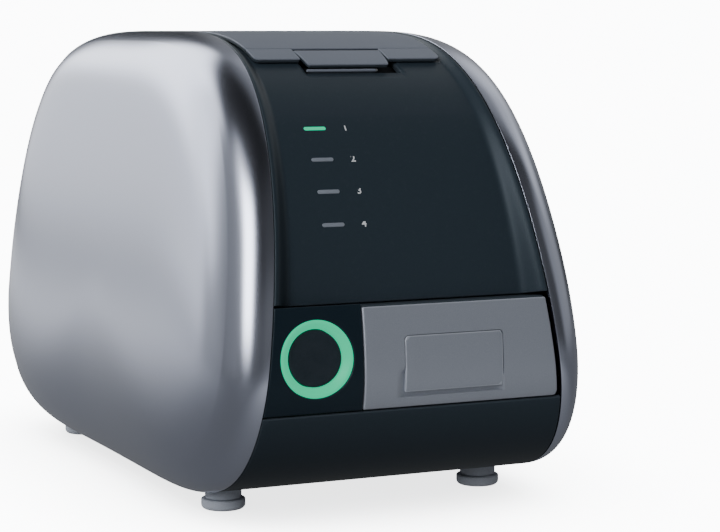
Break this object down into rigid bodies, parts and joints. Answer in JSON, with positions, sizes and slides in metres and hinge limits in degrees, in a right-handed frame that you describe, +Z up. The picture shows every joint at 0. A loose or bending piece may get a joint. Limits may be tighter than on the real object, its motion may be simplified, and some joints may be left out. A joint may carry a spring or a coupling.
{
  "type": "phosphor plate scanner",
  "caption": "Desktop scanner for dental phosphor plates with domed silver sides, a top slot under a flap, status lights, a ring-lit start button and a sliding tray.",
  "frame": {"origin": "on the ground, under the middle of the body", "axes": "+X to the right as seen from the front, +Y towards the back, +Z up"},
  "size_m": [0.219, 0.384, 0.24],
  "materials": {
    "silver_paint": "satin silver paint",
    "dark_plastic": "satin dark slate",
    "lid_plastic": "satin grey",
    "tray_paint": "satin grey metallic paint",
    "light_green": "translucent green light guide",
    "light_grey": "translucent grey light guide",
    "button_plastic": "fine grain",
    "foot_rubber": "matte",
    "steel": "satin",
    "chassis_steel": "zinc coated sheet",
    "black_plastic": "moulded",
    "roller_rubber": "matte",
    "clear_plastic": "polished",
    "circuit_board": "solder mask",
    "mirror": "polished"
  },
  "bodies": {
    "scanner": {"base_plate": "dark_plastic", "button_board": "circuit_board", "button_light_ring": "light_green", "button_panel": "dark_plastic", "button_spring": "steel", "chassis_plate": "chassis_steel", "chute_front_guide": "black_plastic", "chute_rear_guide": "black_plastic", "data_port": "steel", "drive_belt": "roller_rubber", "eraser_bar": "chassis_steel", "fan_frame": "black_plastic", "feed_motor": "steel", "flap_hinge_pin": "steel", "flap_spring": "steel", "foot_front_left": "foot_rubber", "foot_front_right": "foot_rubber", "foot_rear_left": "foot_rubber", "foot_rear_right": "foot_rubber", "front_crossbar": "dark_plastic", "laser_module": "steel", "left_cover_strip": "lid_plastic", "left_shell": "silver_paint", "left_side_frame": "chassis_steel", "light_guide": "clear_plastic", "lower_front_panel": "dark_plastic", "main_board": "circuit_board", "mirror_motor": "steel", "optics_housing": "black_plastic", "photomultiplier": "steel", "power_inlet": "black_plastic", "power_supply": "chassis_steel", "rear_panel": "dark_plastic", "right_cover_strip": "lid_plastic", "right_shell": "silver_paint", "right_side_frame": "chassis_steel", "scan_lens": "clear_plastic", "status_light_1": "light_green", "status_light_2": "light_grey", "status_light_3": "light_grey", "status_light_4": "light_grey", "switch_housing": "black_plastic", "top_cover": "lid_plastic", "tray_shelf": "chassis_steel", "upper_front_panel": "dark_plastic"},
    "start_button_body": {"start_button": "button_plastic"},
    "tray": {"tray_front": "tray_paint", "tray_pull": "tray_paint", "tray_bin": "tray_paint"},
    "flap": {"slot_flap": "lid_plastic"},
    "rocker": {"switch_rocker": "black_plastic"},
    "upper_drive": {"upper_drive_roller": "roller_rubber", "upper_roller_pulley": "black_plastic"},
    "lower_drive": {"lower_drive_roller": "roller_rubber", "lower_roller_pulley": "black_plastic"},
    "upper_pinch": {"upper_pinch_roller": "roller_rubber"},
    "lower_pinch": {"lower_pinch_roller": "roller_rubber"},
    "motor_rotor": {"motor_pulley": "steel"},
    "scan_mirror": {"polygon_mirror": "mirror"},
    "fan_wheel": {"fan_rotor": "black_plastic"}
  },
  "joints": [
    {"name": "start_press", "type": "slide", "parent": "scanner", "child": "start_button_body", "axis": [0, 1, 0], "range_m": [0, 0.0015], "stiffness_N_per_m": 300, "springref_m": -0.0005, "deforming": ["button_spring"]},
    {"name": "tray_slide", "type": "slide", "parent": "scanner", "child": "tray", "axis": [0, -1, 0], "range_m": [0, 0.095]},
    {"name": "flap_hinge", "type": "hinge", "parent": "scanner", "child": "flap", "pos_m": [0, -0.09963, 0.22806], "axis": [-1, 0, 0], "range_deg": [0, 60], "stiffness_Nm_per_rad": 0.0015, "springref_deg": -20.05},
    {"name": "rocker_tip", "type": "hinge", "parent": "scanner", "child": "rocker", "pos_m": [0.04, 0.18568, 0.08], "axis": [0, 0, -1], "range_deg": [0, 22]},
    {"name": "upper_drive_spin", "type": "hinge", "parent": "scanner", "child": "upper_drive", "pos_m": [0, -0.1045, 0.19], "axis": [1, 0, 0], "continuous": true},
    {"name": "lower_drive_spin", "type": "hinge", "parent": "scanner", "child": "lower_drive", "pos_m": [0, -0.1045, 0.1275], "axis": [1, 0, 0], "continuous": true},
    {"name": "upper_pinch_spin", "type": "hinge", "parent": "scanner", "child": "upper_pinch", "pos_m": [0, -0.1155, 0.19], "axis": [1, 0, 0], "continuous": true},
    {"name": "lower_pinch_spin", "type": "hinge", "parent": "scanner", "child": "lower_pinch", "pos_m": [0, -0.1155, 0.1275], "axis": [1, 0, 0], "continuous": true},
    {"name": "motor_spin", "type": "hinge", "parent": "scanner", "child": "motor_rotor", "pos_m": [0, -0.02, 0.06], "axis": [1, 0, 0], "continuous": true},
    {"name": "mirror_spin", "type": "hinge", "parent": "scanner", "child": "scan_mirror", "pos_m": [0.012, -0.042, 0.146], "axis": [0, 0, 1], "continuous": true},
    {"name": "fan_spin", "type": "hinge", "parent": "scanner", "child": "fan_wheel", "pos_m": [0, 0.17517, 0.127], "axis": [0, 1, 0], "continuous": true}
  ],
  "couplings": [
    {"joint": "lower_drive_spin", "follows": "upper_drive_spin", "ratio": 1},
    {"joint": "upper_pinch_spin", "follows": "upper_drive_spin", "ratio": -1},
    {"joint": "lower_pinch_spin", "follows": "upper_drive_spin", "ratio": -1},
    {"joint": "motor_spin", "follows": "upper_drive_spin", "ratio": 1.3333}
  ]
}
